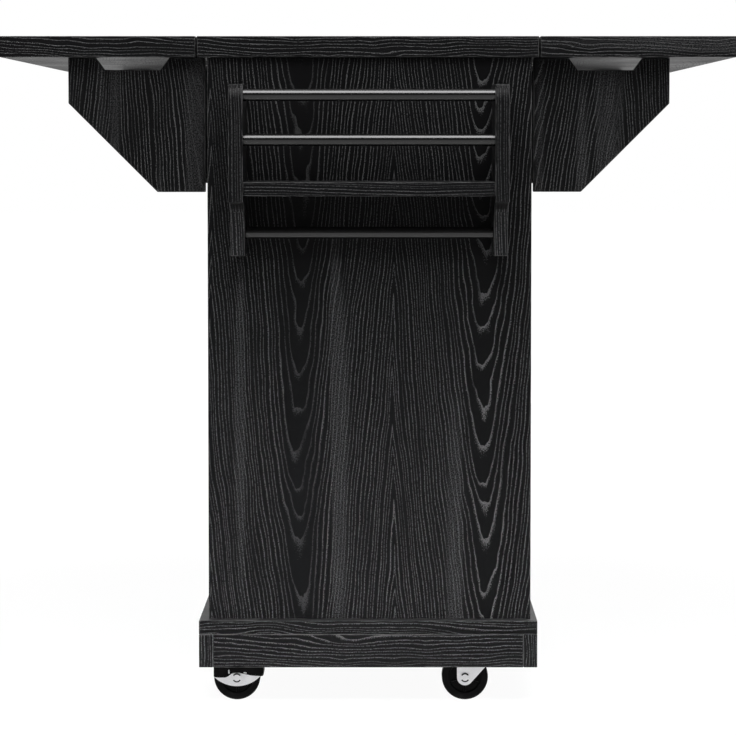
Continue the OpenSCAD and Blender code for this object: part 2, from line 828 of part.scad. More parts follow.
worktop();
leaf_left();
leaf_right();
end_panel_near();
end_panel_far();
back_panel();
drawer_deck();
fascia_boards();
base_board();
base_end_rails();
base_side_rails();
caster_blocks();
cabinet_shelf();
shelf_pins();
drawer_runners();
rack_side_left();
rack_side_right();
rack_shelf();
rack_rods();
bracket_left_near();
bracket_right_near();
bracket_left_far();
bracket_right_far();
bracket_hinge_plates();
bracket_hinge_left_near();
bracket_hinge_right_near();
bracket_hinge_left_far();
bracket_hinge_right_far();
leaf_hinge_plates();
leaf_hinges_left();
leaf_hinges_right();
drawer_front();
drawer_sides();
drawer_back();
drawer_bottom();
drawer_knob();
door_near();
door_far();
door_near_knob();
door_far_knob();
door_hinge_plates();
door_near_hinges();
door_far_hinges();
hinge_pins();
caster_plates();
fork_left_near();
fork_right_near();
fork_left_far();
fork_right_far();
wheel_left_near();
wheel_right_near();
wheel_left_far();
wheel_right_far();
axle_left_near();
axle_right_near();
axle_left_far();
axle_right_far();
brake_left_near();
brake_left_far();
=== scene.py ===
# %% [markdown]
# # Dressing a drop leaf kitchen island
# The frame is ready made: every board, hinge and caster is a solid at its real place. This lesson
# gives each of them the finish of the real thing.
# The boards are chipboard with a black open-pored oak surface, the hinges and casters are pressed
# steel, the rack's rods are black lacquered tube and the wheels are hard black plastic.
# Everything is in metres. X runs across the leaves, Y runs along the body and Z is up.

# %% Load the frame
import json
import math
import random

import bmesh
import bpy
from mathutils import Matrix, Vector

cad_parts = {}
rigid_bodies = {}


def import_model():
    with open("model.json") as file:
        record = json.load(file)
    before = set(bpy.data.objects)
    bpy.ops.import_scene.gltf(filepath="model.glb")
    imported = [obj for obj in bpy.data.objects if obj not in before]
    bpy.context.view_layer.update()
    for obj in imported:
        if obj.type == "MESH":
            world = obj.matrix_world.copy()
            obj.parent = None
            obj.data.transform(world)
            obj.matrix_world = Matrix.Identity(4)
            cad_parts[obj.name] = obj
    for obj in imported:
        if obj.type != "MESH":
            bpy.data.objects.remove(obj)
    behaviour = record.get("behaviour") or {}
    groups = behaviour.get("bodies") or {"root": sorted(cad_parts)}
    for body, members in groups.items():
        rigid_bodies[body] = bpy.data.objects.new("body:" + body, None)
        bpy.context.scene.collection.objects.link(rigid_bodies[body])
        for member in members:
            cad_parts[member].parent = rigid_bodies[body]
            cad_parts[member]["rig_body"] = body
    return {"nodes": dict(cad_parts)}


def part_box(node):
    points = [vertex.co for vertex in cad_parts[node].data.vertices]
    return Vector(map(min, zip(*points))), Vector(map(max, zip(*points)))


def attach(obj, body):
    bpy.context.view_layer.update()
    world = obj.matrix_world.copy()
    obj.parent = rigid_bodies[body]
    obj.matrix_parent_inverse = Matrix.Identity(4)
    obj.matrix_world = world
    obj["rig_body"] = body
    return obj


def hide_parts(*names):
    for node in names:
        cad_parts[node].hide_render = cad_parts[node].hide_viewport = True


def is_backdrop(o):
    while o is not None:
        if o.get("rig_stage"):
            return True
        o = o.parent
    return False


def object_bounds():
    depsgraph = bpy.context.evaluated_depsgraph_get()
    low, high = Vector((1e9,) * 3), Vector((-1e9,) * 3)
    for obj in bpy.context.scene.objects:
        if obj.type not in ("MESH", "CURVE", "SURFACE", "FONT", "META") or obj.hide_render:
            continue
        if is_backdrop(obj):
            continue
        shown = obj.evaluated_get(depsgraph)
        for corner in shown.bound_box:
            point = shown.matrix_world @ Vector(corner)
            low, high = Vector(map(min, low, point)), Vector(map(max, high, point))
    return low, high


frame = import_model()
cad_low, cad_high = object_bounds()

# %% [markdown]
# ## The camera
# The photograph looks at the narrow end with the rack, from a little below the height of the worktop,
# so the undersides of the leaves show. The position came from fitting the edges of the worktop, base
# and rack to where they lie in the picture. A small lens shift keeps the upright edges nearly
# parallel, and a small tilt of the camera does the rest of moving the object up in the picture.

# %% Place the camera
CAMERA_AT = (0.0195, -4.130, 0.781)
CAMERA_TILT = math.radians(3.09)
LENS_MM = 135
LENS_SHIFT = (-0.0195, -0.108)
FAR_CLIP = 60

lens = bpy.data.cameras.new("photo_camera")
lens.lens = LENS_MM
lens.shift_x, lens.shift_y = LENS_SHIFT
lens.clip_end = FAR_CLIP
camera = bpy.data.objects.new("photo_camera", lens)
camera.location = CAMERA_AT
camera.rotation_euler = (math.pi / 2 - CAMERA_TILT, 0, 0)
bpy.context.scene.collection.objects.link(camera)
bpy.context.scene.camera = camera

# %% [markdown]
# ## Building node trees
# Every material here is a small program of nodes. One helper adds a node with its settings and
# inputs, and another adds a Math node. An input may be a number, a colour or another node's output.

# %% Helpers for nodes
def put(tree, kind, inputs=(), **settings):
    """Adds a shader node to the tree, with its settings and its inputs."""
    node = tree.nodes.new("ShaderNode" + kind)
    for name, value in settings.items():
        setattr(node, name, value)
    for name, value in dict(inputs).items():
        if isinstance(value, bpy.types.NodeSocket):
            tree.links.new(value, node.inputs[name])
        else:
            node.inputs[name].default_value = value
    return node


def calc(tree, operation, *values):
    """Adds a Math node and gives its output."""
    return put(tree, "Math", dict(enumerate(values)), operation=operation).outputs[0]


def ramp_between(tree, value, low, high):
    """0 below low, 1 above high and a soft step between them."""
    step = put(tree, "MapRange", {"Value": value, "From Min": low, "From Max": high},
               interpolation_type="SMOOTHSTEP")
    return step.outputs["Result"]


def noise(tree, place, scale, detail=2.0, roughness=0.5):
    """Noise of a point, stretched by a scale for each axis: about 0.5 on average."""
    stretched = put(tree, "VectorMath", {0: place, 1: scale}, operation="MULTIPLY")
    return put(tree, "TexNoise", {"Vector": stretched.outputs[0], "Scale": 1.0, "Detail": detail,
                                  "Roughness": roughness}).outputs["Fac"]


def around_zero(tree, value, reach):
    """Noise near 0.5 as a value that swings to both sides of zero."""
    return calc(tree, "MULTIPLY", calc(tree, "SUBTRACT", value, 0.5), reach)


def mix_colours(tree, mask, first, second):
    """The first colour where the mask is 0, the second where it is 1."""
    return put(tree, "Mix", {0: mask, 6: first, 7: second}, data_type="RGBA").outputs[2]


def grey(value, blue=0.0):
    """A colour of that brightness, a little bluer if asked."""
    return (value, value, value * (1 + blue), 1.0)


def new_group(name, inputs, outputs):
    """An empty node group with named inputs (name, kind, value) and outputs (name, kind)."""
    group = bpy.data.node_groups.new(name, "ShaderNodeTree")
    for label, kind, value in inputs:
        socket = group.interface.new_socket(label, in_out="INPUT", socket_type="NodeSocket" + kind)
        if kind == "Float":
            socket.default_value = value
    for label, kind in outputs:
        group.interface.new_socket(label, in_out="OUTPUT", socket_type="NodeSocket" + kind)
    return group, group.nodes.new("NodeGroupInput").outputs, group.nodes.new("NodeGroupOutput")


def use_group(tree, group, inputs):
    """Places a node group in a tree and gives its outputs."""
    return put(tree, "Group", inputs, node_tree=group).outputs


# %% [markdown]
# ## The oak figure
# A sawn oak board shows two patterns: long even lines at its sides, and nested arches, called
# cathedrals, where the saw ran through the heart of the growth rings. A flat picture of wood could be
# mapped on, but a formula gives any board its own figure without repeats.
# The distance from the heart line grows like the root of a sum of squares, so rings near the heart
# are wide and open and rings far from it are even. Slow noise bends them, and the height along the
# board makes the arches close. Each ring leaves a thin line of open pores, which are short dashes.
# Between two hearts the rings meet in a valley, where the photograph shows bands of loose speckles.

# %% Node group: oak figure
PORE_SCALE = (520.0, 1000.0)
PORE_FEATHER = 3.2
VALLEY_EDGE = (0.92, 0.98)
SPECKLE_STRENGTH = 0.42
HEART_FADE, VALLEY_FADE = -0.65, -0.6

oak_figure, given, out = new_group(
    "oak_figure",
    [("Place", "Vector", None), ("Ring Width", "Float", 0.006), ("Heart Spacing", "Float", 0.15),
     ("Heart Breadth", "Float", 0.02), ("Wander", "Float", 0.02), ("Taper", "Float", 0.09),
     ("Line Share", "Float", 0.3)],
    [("Lines", "Float"), ("Pores", "Float"), ("Tone", "Float")],
)
place = given["Place"]


def oak(operation, *values):
    """Adds a Math node to the oak figure."""
    return calc(oak_figure, operation, *values)


def oak_noise(scale, detail=2.0, at=place):
    """Adds noise to the oak figure, with its scale along and across the grain."""
    return noise(oak_figure, at, (*scale, 1), detail)


def oak_ramp(value, low, high):
    """Adds a soft step to the oak figure."""
    return ramp_between(oak_figure, value, low, high)


# Rings: the distance from the nearest heart line, bent by slow noise
split = put(oak_figure, "SeparateXYZ", {0: place}).outputs
across = oak("ADD", split[1], around_zero(oak_figure, oak_noise((1.3, 0.4), 1.0), 0.05))
middle = oak("MULTIPLY", given["Heart Spacing"], 0.5)
off_heart = oak("SUBTRACT", oak("PINGPONG", across, given["Heart Spacing"]), middle)
heart_distance = oak("ABSOLUTE", off_heart)
breadth = oak("MULTIPLY", given["Heart Breadth"],
              oak("MULTIPLY_ADD", oak_noise((0.5, 3.0), 1.0), 1.6, 0.2))
ring_radius = oak("SQRT", oak("ADD", oak("POWER", off_heart, 2.0), oak("POWER", breadth, 2.0)))
wander = oak("MULTIPLY", around_zero(oak_figure, oak_noise((4.0, 11.0)), 2.0), given["Wander"])
ripple = oak("MULTIPLY", around_zero(oak_figure, oak_noise((22.0, 60.0)), 0.35), given["Wander"])
climb = oak("MULTIPLY", split[0], given["Taper"])
ring = oak("SUBTRACT", oak("ADD", ring_radius, wander), oak("SUBTRACT", climb, ripple))
ring = oak("DIVIDE", ring, given["Ring Width"])
ring_spot = put(oak_figure, "CombineXYZ", {0: oak("MULTIPLY", ring, 0.31)}).outputs[0]
uneven = around_zero(oak_figure, oak_noise((1, 1), 1.0, at=ring_spot), 2.2)
into_ring = oak("DIVIDE", oak("FRACT", oak("ADD", ring, uneven)), given["Line Share"])

# Lines of pores, feathered by the pores themselves
pores = oak_noise(PORE_SCALE, 1.0)
feathered = oak("ADD", oak("SUBTRACT", 1.0, into_ring), around_zero(oak_figure, pores, PORE_FEATHER))
ring_lines = oak_ramp(feathered, 0.2, 0.7)

# Bands of loose speckles, some along the valleys between two hearts
band = oak_ramp(oak_noise((0.7, 20.0), 1.0), 0.61, 0.66)
valley = oak_ramp(heart_distance, *(oak("MULTIPLY", middle, share) for share in VALLEY_EDGE))
valley = oak("MULTIPLY", valley, oak_ramp(oak_noise((0.3, 3.0), 0.0), 0.46, 0.54))
speckles = oak("MULTIPLY", oak_ramp(pores, 0.46, 0.62), oak("MAXIMUM", band, valley))

# Lines fade in places, near a heart and in a valley
strength = oak_ramp(oak_noise((6.0, 60.0)), 0.1, 0.55)
near_heart = oak_ramp(heart_distance, 0.035, 0.012)
shy = oak("MULTIPLY", oak_ramp(oak_noise((0.3, 4.0), 0.0), 0.48, 0.4), near_heart)
strength = oak("MULTIPLY", strength, oak("MULTIPLY_ADD", shy, HEART_FADE, 1.0))
strength = oak("MULTIPLY", strength, oak("MULTIPLY_ADD", valley, VALLEY_FADE, 1.0))
lines = oak("MAXIMUM", oak("MULTIPLY", ring_lines, strength), oak("MULTIPLY", speckles, SPECKLE_STRENGTH))
for label, value in (("Lines", lines), ("Pores", pores), ("Tone", oak_noise((2.0, 9.0)))):
    oak_figure.links.new(value, out.inputs[label])
print("oak figure has", len(oak_figure.nodes), "nodes")

# %% [markdown]
# ## Handling marks
# Nothing that stands in a kitchen stays even: palms and cloths leave faint patches that are a little
# duller, and dust settles in flecks. The same soft patches go on wood, metal and plastic, each at its
# own size, so they are a group too. It puts out two masks: patches, mostly for roughness, and flecks.

# %% Node group: handling marks
handling, given, out = new_group(
    "handling",
    [("Place", "Vector", None), ("Patch Size", "Float", 0.12)],
    [("Patches", "Float"), ("Flecks", "Float")],
)
unit = calc(handling, "DIVIDE", 1.0, given["Patch Size"])
spot = put(handling, "VectorMath", {0: given["Place"], "Scale": unit}, operation="SCALE").outputs[0]
patches = ramp_between(handling, noise(handling, spot, (1, 1, 1), detail=4.0, roughness=0.55), 0.35, 0.7)
flecks = ramp_between(handling, noise(handling, spot, (23, 23, 23)), 0.62, 0.75)
for label, value in (("Patches", patches), ("Flecks", flecks)):
    handling.links.new(value, out.inputs[label])
print("handling marks have", len(handling.nodes), "nodes")

# %% [markdown]
# ## Eased arrises
# The corner between two faces of a board is called an arris. On a laminated board it is eased with a
# scraper, and there the black wears to a dark grey first. The same paler grey also stands as a painted
# highlight along the arris. The boards below carry a number on those narrow faces, so the paler grey
# follows the real edge and needs no guess from the shading.

# %% Node group: edge wear and highlight
edge_wear_and_highlight, given, out = new_group(
    "edge_wear_and_highlight", [("Place", "Vector", None), ("Amount", "Float", 0.5)], [("Wear And Highlight", "Float")])
on_edge = put(edge_wear_and_highlight, "Attribute", attribute_name="eased", attribute_type="GEOMETRY").outputs["Fac"]
broken = ramp_between(edge_wear_and_highlight, noise(edge_wear_and_highlight, given["Place"], (40, 40, 40), detail=4.0), 0.4, 0.62)
# The paler eased edge is partly wear and partly a painted highlight
wear_and_highlight = calc(edge_wear_and_highlight, "MULTIPLY", calc(edge_wear_and_highlight, "MULTIPLY", on_edge, broken), given["Amount"])
edge_wear_and_highlight.links.new(wear_and_highlight, out.inputs["Wear And Highlight"])
print("edge wear has", len(edge_wear_and_highlight.nodes), "nodes")


# %% [markdown]
# ## The black oak finish
# The base is nearly black, and the pore lines are a dusty grey. They are pressed a little into the
# surface, so they also catch less of the sheen. The finish is a dull lacquer: it reflects little when
# seen square on, and clearly when seen along the surface, which the shader does by itself.
# Faces have wide arches. The strips that band the edges are cut from straighter wood, and so are the
# rack's. The rack's legs are painted a little paler: painted light that lifts them out of the shade
# under the nose. The drawer's box is of plainer, cheaper board.

# %% Material: black oak
def start_material(name):
    """A new material and its node tree."""
    material = bpy.data.materials.new(name)
    material.use_nodes = True
    return material, material.node_tree


def shade(material, colour, roughness, height, strength, depth=0.0001, plain=()):
    """Links colour, roughness and bump to a material's shader, and sets its plain numbers."""
    tree = material.node_tree
    shader = tree.nodes["Principled BSDF"]
    bump = put(tree, "Bump", {"Height": height, "Strength": strength, "Distance": depth})
    for name, output in (("Base Color", colour), ("Roughness", roughness), ("Normal", bump.outputs[0])):
        tree.links.new(output, shader.inputs[name])
    for name, value in dict(plain).items():
        shader.inputs[name].default_value = value
    return material


HEART_SPACING = 0.25
DULL_SHEEN = 0.07


def oak_finish(name, dark, line, ring_width, wander, line_share, taper=0.012,
               heart_spacing=HEART_SPACING):
    """Black oak: greys of the wood and of its pore lines, and the sizes of its figure in metres."""
    material, tree = start_material(name)
    grain = put(tree, "UVMap", uv_map="grain").outputs[0]
    figure = use_group(tree, oak_figure, {
        "Place": grain, "Ring Width": ring_width, "Heart Spacing": heart_spacing,
        "Heart Breadth": heart_spacing / 9, "Wander": wander, "Taper": taper,
        "Line Share": line_share})
    marks = use_group(tree, handling, {"Place": grain, "Patch Size": 0.16})
    wear_and_highlight = use_group(tree, edge_wear_and_highlight, {"Place": grain, "Amount": 0.6})["Wear And Highlight"]
    base = mix_colours(tree, figure["Tone"], grey(dark * 0.6, 0.05), grey(dark * 1.5, 0.1))
    colour = mix_colours(tree, figure["Lines"], base, grey(line, 0.02))
    # Eased arrises turn paler: wear, and a painted highlight along the arris
    colour = mix_colours(tree, wear_and_highlight, colour, grey(line * 1.1))
    roughness = calc(tree, "MULTIPLY_ADD", marks["Patches"], 0.10, 0.36)
    roughness = calc(tree, "MULTIPLY_ADD", figure["Lines"], 0.22, roughness)
    height = calc(tree, "SUBTRACT", calc(tree, "MULTIPLY", figure["Pores"], 0.25), figure["Lines"])
    return shade(material, colour, roughness, height, strength=0.35, depth=0.0004,
                 plain={"Specular IOR Level": DULL_SHEEN})


ARCHED = 0.09
BLACK_OAK = oak_finish("black_oak", dark=0.0026, line=0.064, ring_width=0.0042, wander=0.010,
                       line_share=0.24, taper=ARCHED)
BANDED_OAK = oak_finish("black_oak_edge_band", dark=0.0032, line=0.064, ring_width=0.0040,
                        wander=0.018, line_share=0.26)
STRAIGHT_OAK = oak_finish("black_oak_straight_band", dark=0.0028, line=0.046, ring_width=0.0032,
                          wander=0.005, line_share=0.25)
# The rack's legs are paler than the rest of the rack: painted light below the shelf
LIT_LEG_OAK = oak_finish("black_oak_painted_light_leg_band", dark=0.0065, line=0.095, ring_width=0.0032,
                     wander=0.005, line_share=0.30)
PLAIN_OAK = oak_finish("plain_black_oak", dark=0.005, line=0.04, ring_width=0.009, wander=0.008,
                       line_share=0.2, taper=ARCHED, heart_spacing=0.30)
print("oak finishes:", len(bpy.data.materials))


# %% [markdown]
# ## Metals, lacquer and plastic
# The casters and hinges are pressed steel with a zinc coat, which is pale, satin and slightly mottled.
# The rods are tube with a glossy black lacquer. The knobs are turned metal, and turning leaves fine
# rings. The wheels are moulded plastic with a matt, faintly pebbled skin.

# %% Materials: zinc steel, lacquered tube, turned metal, moulded plastic
def start_small_part(name, patch_size):
    """A new material, its tree, the place on the piece, and its handling marks."""
    material, tree = start_material(name)
    spot = put(tree, "TexCoord").outputs["Object"]
    return material, tree, spot, use_group(tree, handling, {"Place": spot, "Patch Size": patch_size})


def zinc_finish(name, tone, roughness):
    """Pressed steel: its grey, and its roughness where no hand has been."""
    material, tree, spot, marks = start_small_part(name, 0.02)
    drawn = noise(tree, spot, (900, 900, 60))
    colour = mix_colours(tree, marks["Patches"], grey(tone * 0.86, 0.02), grey(tone, 0.01))
    colour = mix_colours(tree, marks["Flecks"], colour, grey(tone * 0.6))
    dull = calc(tree, "MULTIPLY_ADD", marks["Patches"], 0.12, roughness)
    return shade(material, colour, dull, drawn, strength=0.12, plain={"Metallic": 0.85})


def lacquered_tube():
    """Glossy black lacquer over drawn tube, with a little dust."""
    material, tree, spot, marks = start_small_part("lacquered_tube", 0.05)
    drawn = noise(tree, spot, (30, 1400, 1400), detail=1.0)
    colour = mix_colours(tree, marks["Flecks"], grey(0.003), grey(0.008))
    gloss = calc(tree, "MULTIPLY_ADD", marks["Patches"], 0.05, 0.15)
    return shade(material, colour, gloss, drawn, strength=0.04, plain={"Specular IOR Level": 0.5})


def turned_metal():
    """Satin nickel with the fine rings of turning, which run round the X axis."""
    material, tree, spot, marks = start_small_part("turned_metal", 0.012)
    rings = noise(tree, spot, (4000, 200, 200))
    colour = mix_colours(tree, marks["Patches"], grey(0.30, 0.02), grey(0.38, 0.02))
    dull = calc(tree, "MULTIPLY_ADD", rings, 0.15, 0.2)
    return shade(material, colour, dull, rings, strength=0.1, plain={"Metallic": 1.0})


def moulded_plastic():
    """Matt black plastic with a pebbled skin and paler edges."""
    material, tree, spot, marks = start_small_part("moulded_plastic", 0.03)
    pebble = noise(tree, spot, (2200, 2200, 2200))
    wear_and_highlight = use_group(tree, edge_wear_and_highlight, {"Place": spot, "Amount": 0.5})["Wear And Highlight"]
    colour = mix_colours(tree, marks["Patches"], grey(0.003), grey(0.005))
    colour = mix_colours(tree, wear_and_highlight, colour, grey(0.02))
    dull = calc(tree, "MULTIPLY_ADD", marks["Patches"], 0.15, 0.42)
    return shade(material, colour, dull, pebble, strength=0.15,
                 plain={"Specular IOR Level": DULL_SHEEN})


CASTER_STEEL = zinc_finish("caster_steel", tone=0.88, roughness=0.34)
HINGE_STEEL = zinc_finish("hinge_steel", tone=0.42, roughness=0.30)
BLACK_STEEL = zinc_finish("black_hinge_steel", tone=0.035, roughness=0.42)
ROD_LACQUER = lacquered_tube()
KNOB_METAL = turned_metal()
BLACK_PLASTIC = moulded_plastic()
print("finishes:", len(bpy.data.materials))


# %% [markdown]
# ## Boards with eased edges and laid grain
# The frame's boards have knife-sharp corners, which no board has: a soft corner draws the thin light
# line that tells the eye where a board ends. Each board is copied from its solid, its flat triangles
# are merged back into whole faces, and its outer edges are rounded.
# Then the grain is laid like a cutting plan: a map in metres runs along the board's length, and a
# narrow edge, which is banded with a strip, gets grain along its own length.

# %% Helpers for boards
# The photographed faces of some boards: number of the side, and the shift of its grain
GRAIN_PICKED = {"end_panel_near": (2, 8.53, 0.9614), "bracket_left_near": (2, 3.1, 0.596),
                "bracket_right_near": (2, 5.7, 1.404)}
# A face narrower than this is a banded edge, and its grain lies this share beside a heart line
NARROW_FACE = 0.06
BESIDE_HEART = 0.25
# Numbers of a board's further materials, and how far below its top a rack side's leg starts
EDGE_BAND, LIT_LEG_BAND = 1, 2
LEG_BELOW = 0.166
WELD, ON_SIDE = 1e-6, 1e-5
FLAT_ANGLE, SHARP_ANGLE = math.radians(0.5), math.radians(30)


def copied_mesh(node):
    """A copy of a frame node's mesh, with the corners of its triangles joined."""
    bm = bmesh.new()
    bm.from_mesh(frame["nodes"][node].data)
    bmesh.ops.remove_doubles(bm, verts=bm.verts, dist=WELD)
    return bm


def separate_solids(bm):
    """The solids of a mesh, each as a list of faces."""
    for face in bm.faces:
        face.tag = False
    solids = []
    for start in bm.faces:
        if start.tag:
            continue
        start.tag = True
        waiting, solid = [start], []
        while waiting:
            face = waiting.pop()
            solid.append(face)
            for edge in face.edges:
                for other in edge.link_faces:
                    if not other.tag:
                        other.tag = True
                        waiting.append(other)
        solids.append(solid)
    return solids


def corners_of(faces):
    """Lowest and highest corner of some faces."""
    spots = [vert.co for face in faces for vert in face.verts]
    return [Vector([pick(spot[i] for spot in spots) for i in range(3)]) for pick in (min, max)]


def lay_grain(bm, along, name):
    """Writes the map called grain: u runs with the wood and v across it, in metres."""
    uv = bm.loops.layers.uv.new("grain")
    for number, solid in enumerate(separate_solids(bm)):
        low, high = corners_of(solid)
        draw = random.Random(f"{name} {number}")
        shifts = [(draw.uniform(0, 9), draw.uniform(0, 9)) for _ in range(6)]
        if name in GRAIN_PICKED:
            shifts[GRAIN_PICKED[name][0]] = GRAIN_PICKED[name][1:]
        for face in solid:
            facing = max(range(3), key=lambda i: abs(face.normal[i]))
            flat = [i for i in range(3) if i != facing]
            run = along if along in flat else max(flat, key=lambda i: high[i] - low[i])
            cross = flat[0] if flat[1] == run else flat[1]
            shift = list(shifts[2 * facing + (face.normal[facing] > 0)])
            if high[cross] - low[cross] < NARROW_FACE:
                middle = (high[cross] + low[cross]) / 2
                shift[1] = HEART_SPACING * (round(shift[1] / HEART_SPACING) + BESIDE_HEART) - middle
                on_leg = name.startswith("rack_side") and face.calc_center_median().z < high[2] - LEG_BELOW
                # A rack side's leg takes the paler band, which paints light onto it
                face.material_index = LIT_LEG_BAND if on_leg else EDGE_BAND
            for loop in face.loops:
                loop[uv].uv = (loop.vert.co[run] + shift[0], loop.vert.co[cross] + shift[1])


def outer_edges(bm, shaped, spared):
    """The convex edges of each solid that lie on its outside, apart from spared spots."""
    chosen = []
    for solid in separate_solids(bm):
        low, high = corners_of(solid)
        for face in solid:
            face.tag = any(all(abs(vert.co[i] - side[i]) < ON_SIDE for vert in face.verts)
                           for i in range(3) for side in (low, high))
    for edge in bm.edges:
        if len(edge.link_faces) != 2 or not edge.is_convex:
            continue
        flats = sum(face.tag for face in edge.link_faces)
        sharp = edge.calc_face_angle() > SHARP_ANGLE
        middle = (edge.verts[0].co + edge.verts[1].co) / 2
        if sharp and flats >= (1 if shaped else 2) and not spared(middle):
            chosen.append(edge)
    return chosen


def add_object(bm, name, material, smooth_angle=40):
    """Makes an object of a bmesh, smooth over gentle angles and crisp over sharp ones."""
    mesh = bpy.data.meshes.new(name)
    bm.to_mesh(mesh)
    bm.free()
    mesh.materials.append(material)
    mesh.shade_smooth()
    mesh.set_sharp_from_angle(angle=math.radians(smooth_angle))
    piece = bpy.data.objects.new(name, mesh)
    bpy.context.scene.collection.objects.link(piece)
    return piece


def dress(piece, node, replaces=True):
    """The piece rides on the body of a node, and mostly stands in the node's place."""
    if replaces:
        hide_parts(node)
    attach(piece, frame["nodes"][node]["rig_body"])


def ease_edges(bm, edges, ease):
    """Rounds the edges and marks the new faces in the layer called eased."""
    rounded = bmesh.ops.bevel(bm, geom=edges, offset=ease, segments=3, profile=0.5, affect="EDGES",
                              clamp_overlap=True)
    eased = bm.faces.layers.float["eased"]
    for face in rounded["faces"]:
        face[eased] = 1.0


def eased_piece(name, node, material, ease, shaped=True, spared=lambda spot: False, along=None):
    """A solid of the frame with its edges eased, in the place of its node."""
    bm = copied_mesh(node)
    bmesh.ops.dissolve_limit(bm, angle_limit=FLAT_ANGLE, verts=bm.verts, edges=bm.edges)
    if along:
        lay_grain(bm, "xyz".index(along), node)
    bm.faces.layers.float.new("eased")
    ease_edges(bm, outer_edges(bm, shaped, spared), ease)
    piece = add_object(bm, name, material)
    if along and material is BLACK_OAK:
        piece.data.materials.append(STRAIGHT_OAK if node.startswith("rack") else BANDED_OAK)
        # A rack side's leg gets its own paler band: painted light
        if node.startswith("rack_side"):
            piece.data.materials.append(LIT_LEG_OAK)
    piece.modifiers.new("flat_faces_rule", "WEIGHTED_NORMAL").keep_sharp = True
    dress(piece, node)


def eased_board(node, along, material, ease=0.0010, shaped=False, spared=lambda spot: False):
    """A board of the frame with eased edges and laid grain, in the place of its node."""
    eased_piece("board_" + node, node, material, ease, shaped, spared, along)


# %% [markdown]
# ## The flat boards
# The grain of the worktop, the leaves and the base runs along the body, as a long board would be cut.
# The end panels, doors and back have upright grain, and the drawer row has it level.
# The drawer box is made of plainer boards.

# %% Dress the flat boards
OAK_BOARDS = {
    "worktop": "y", "leaf_left": "y", "leaf_right": "y", "end_panel_near": "z", "end_panel_far": "z",
    "back_panel": "z", "drawer_deck": "y", "fascia_boards": "y", "base_board": "y",
    "base_end_rails": "x", "base_side_rails": "y", "caster_blocks": "y", "cabinet_shelf": "y",
    "rack_shelf": "x", "drawer_front": "y", "door_near": "z", "door_far": "z",
}
DRAWER_BOARDS = {"drawer_sides": "x", "drawer_back": "y", "drawer_bottom": "x", "drawer_runners": "x"}

for node, along in OAK_BOARDS.items():
    eased_board(node, along, BLACK_OAK)
for node, along in DRAWER_BOARDS.items():
    eased_board(node, along, PLAIN_OAK, ease=0.0006)
print("flat boards:", len(OAK_BOARDS) + len(DRAWER_BOARDS))

# %% [markdown]
# ## The shaped boards
# The rack's sides have a rounded nose and a cove, and each bracket has a cut corner below and a notch
# above that clears a leaf hinge. They are cut from the same board, so the same helper eases them, but
# here every edge of the outline counts, and not only the edges of a box. The blind holes for the rods
# are spared, because a rod fills them.

# %% Dress the rack sides and the brackets
# Y and Z of the rods' middle lines
ROD_LINES = {"upper_guard": (-0.468, 0.8397), "lower_guard": (-0.468, 0.7804), "towel": (-0.409, 0.6556)}
ROD_RADIUS, HOLE_RIM = 0.008, 0.0005
SIDES = ("left", "right")
ENDS = ("near", "far")


def beside_rod(spot):
    """True on the rim of a hole that a rod fills."""
    return any(math.hypot(spot.y - y, spot.z - z) < ROD_RADIUS + HOLE_RIM for y, z in ROD_LINES.values())


for side in SIDES:
    eased_board("rack_side_" + side, "z", BLACK_OAK, shaped=True, spared=beside_rod)
    for end in ENDS:
        eased_board(f"bracket_{side}_{end}", "z", BLACK_OAK, shaped=True)
print("shaped boards:", len(SIDES) * (1 + len(ENDS)))


# %% [markdown]
# ## Turned pieces
# Rods, knobs, wheels and axles are all round. Such a piece could be cut from a cylinder, but a half
# outline turned about an axis gives any of them at once, with its round shoulders and sunk rings.

# %% Helper for turned pieces
def circle(steps):
    """Cosine and sine of even steps round a circle."""
    return [(math.cos(math.tau * i / steps), math.sin(math.tau * i / steps)) for i in range(steps)]


def stand(at, axis):
    """The space of a round form that stands at a point, with its Z along an axis."""
    return Matrix.Translation(at) @ Vector(axis).to_track_quat("Z", "Y").to_matrix().to_4x4()


def turn(bm, outline, at, axis, steps=64, close=False):
    """Turns an outline of (radius, height) points about an axis through a point."""
    spot = stand(at, axis)
    loops = []
    for radius, height in outline:
        around = [(0, 0)] if radius < WELD else circle(steps)
        loops.append([bm.verts.new(spot @ Vector((radius * x, radius * y, height))) for x, y in around])
    pairs = list(zip(loops, loops[1:])) + ([(loops[-1], loops[0])] if close else [])
    for lower, upper in pairs:
        for i in range(steps):
            j = (i + 1) % steps
            quad = [lower[i % len(lower)], lower[j % len(lower)], upper[j % len(upper)],
                    upper[i % len(upper)]]
            bm.faces.new(list(dict.fromkeys(quad)))
    bmesh.ops.recalc_face_normals(bm, faces=bm.faces)


# %% [markdown]
# ## The rods of the rack
# Two rods guard the jars on the shelf, and the lower one holds a towel. Each runs a little way into
# both side boards. Tube that is cut and deburred has a tiny chamfer, though the boards hide it here.

# %% Dress the rods
CHAMFER = 0.0006
rod_low, rod_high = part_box("rack_rods")
length = rod_high.x - rod_low.x
for label, (y, z) in ROD_LINES.items():
    bm = bmesh.new()
    turn(bm, [(0, 0), (ROD_RADIUS - CHAMFER, 0), (ROD_RADIUS, CHAMFER), (ROD_RADIUS, length - CHAMFER),
              (ROD_RADIUS - CHAMFER, length), (0, length)], (rod_low.x, y, z), (1, 0, 0))
    dress(add_object(bm, f"rod_{label}", ROD_LACQUER), "rack_rods")
print("rods are", round(length, 4), "m long")


# %% [markdown]
# ## Hinges
# The long hinges of the brackets, the leaf hinges and the door hinges already have their knuckles,
# plates and pins in the frame, at their real sizes, so they stay and take a steel finish. The long
# ones show as dark gaps beside the body, so they are blackened.
# What they lack are screws.

